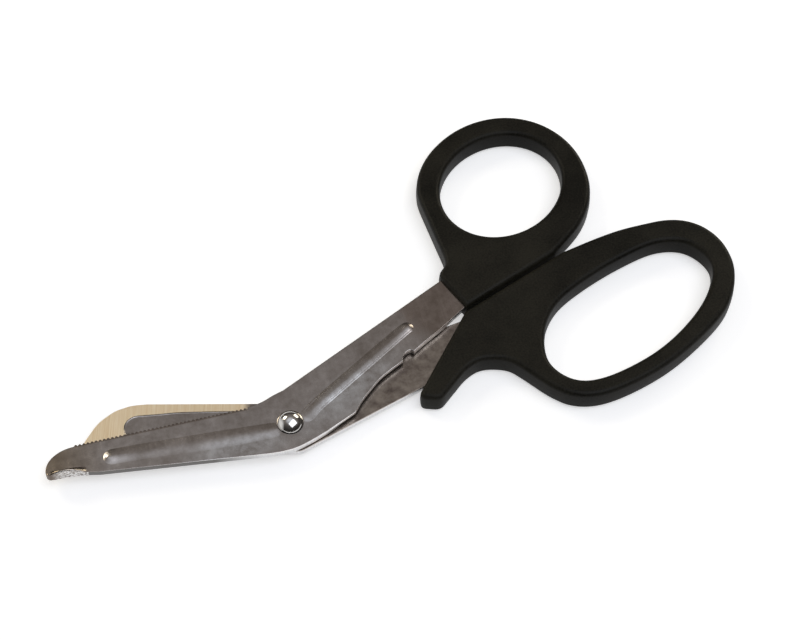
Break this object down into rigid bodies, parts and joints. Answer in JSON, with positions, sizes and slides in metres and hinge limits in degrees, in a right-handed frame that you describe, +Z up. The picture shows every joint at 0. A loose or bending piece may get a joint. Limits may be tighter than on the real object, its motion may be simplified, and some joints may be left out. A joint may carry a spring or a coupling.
{
  "type": "trauma shears",
  "caption": "Closed trauma shears with a serrated blunt-nosed blade, a smooth blade behind it, a domed pivot rivet and black plastic loop handles, for cutting clothing and bandages.",
  "frame": {"origin": "middle of the closed shears' plan outline, on the ground they lie on", "axes": "+X along the serrated edge from the nose to the handles, +Y towards the thumb loop, +Z up, out of the face with the rivet's dome"},
  "size_m": [0.1846, 0.0948, 0.0074],
  "materials": {
    "front_blade": "satin stamped sheet",
    "rear_blade": "ground sheet, warm reflections",
    "thumb_handle": "fine matte moulding",
    "finger_handle": "fine matte moulding",
    "pivot_rivet": "polished dome",
    "tail_washer": "plain"
  },
  "bodies": {
    "thumb_half": {"front_blade": "front_blade", "thumb_handle": "thumb_handle", "pivot_rivet": "pivot_rivet", "tail_washer": "tail_washer"},
    "finger_half": {"rear_blade": "rear_blade", "finger_handle": "finger_handle"}
  },
  "joints": [
    {"name": "pivot_hinge", "type": "hinge", "parent": "thumb_half", "child": "finger_half", "pos_m": [-0.03147, -0.03513, 0.0032], "axis": [0, 0, -1], "range_deg": [0, 60]}
  ]
}
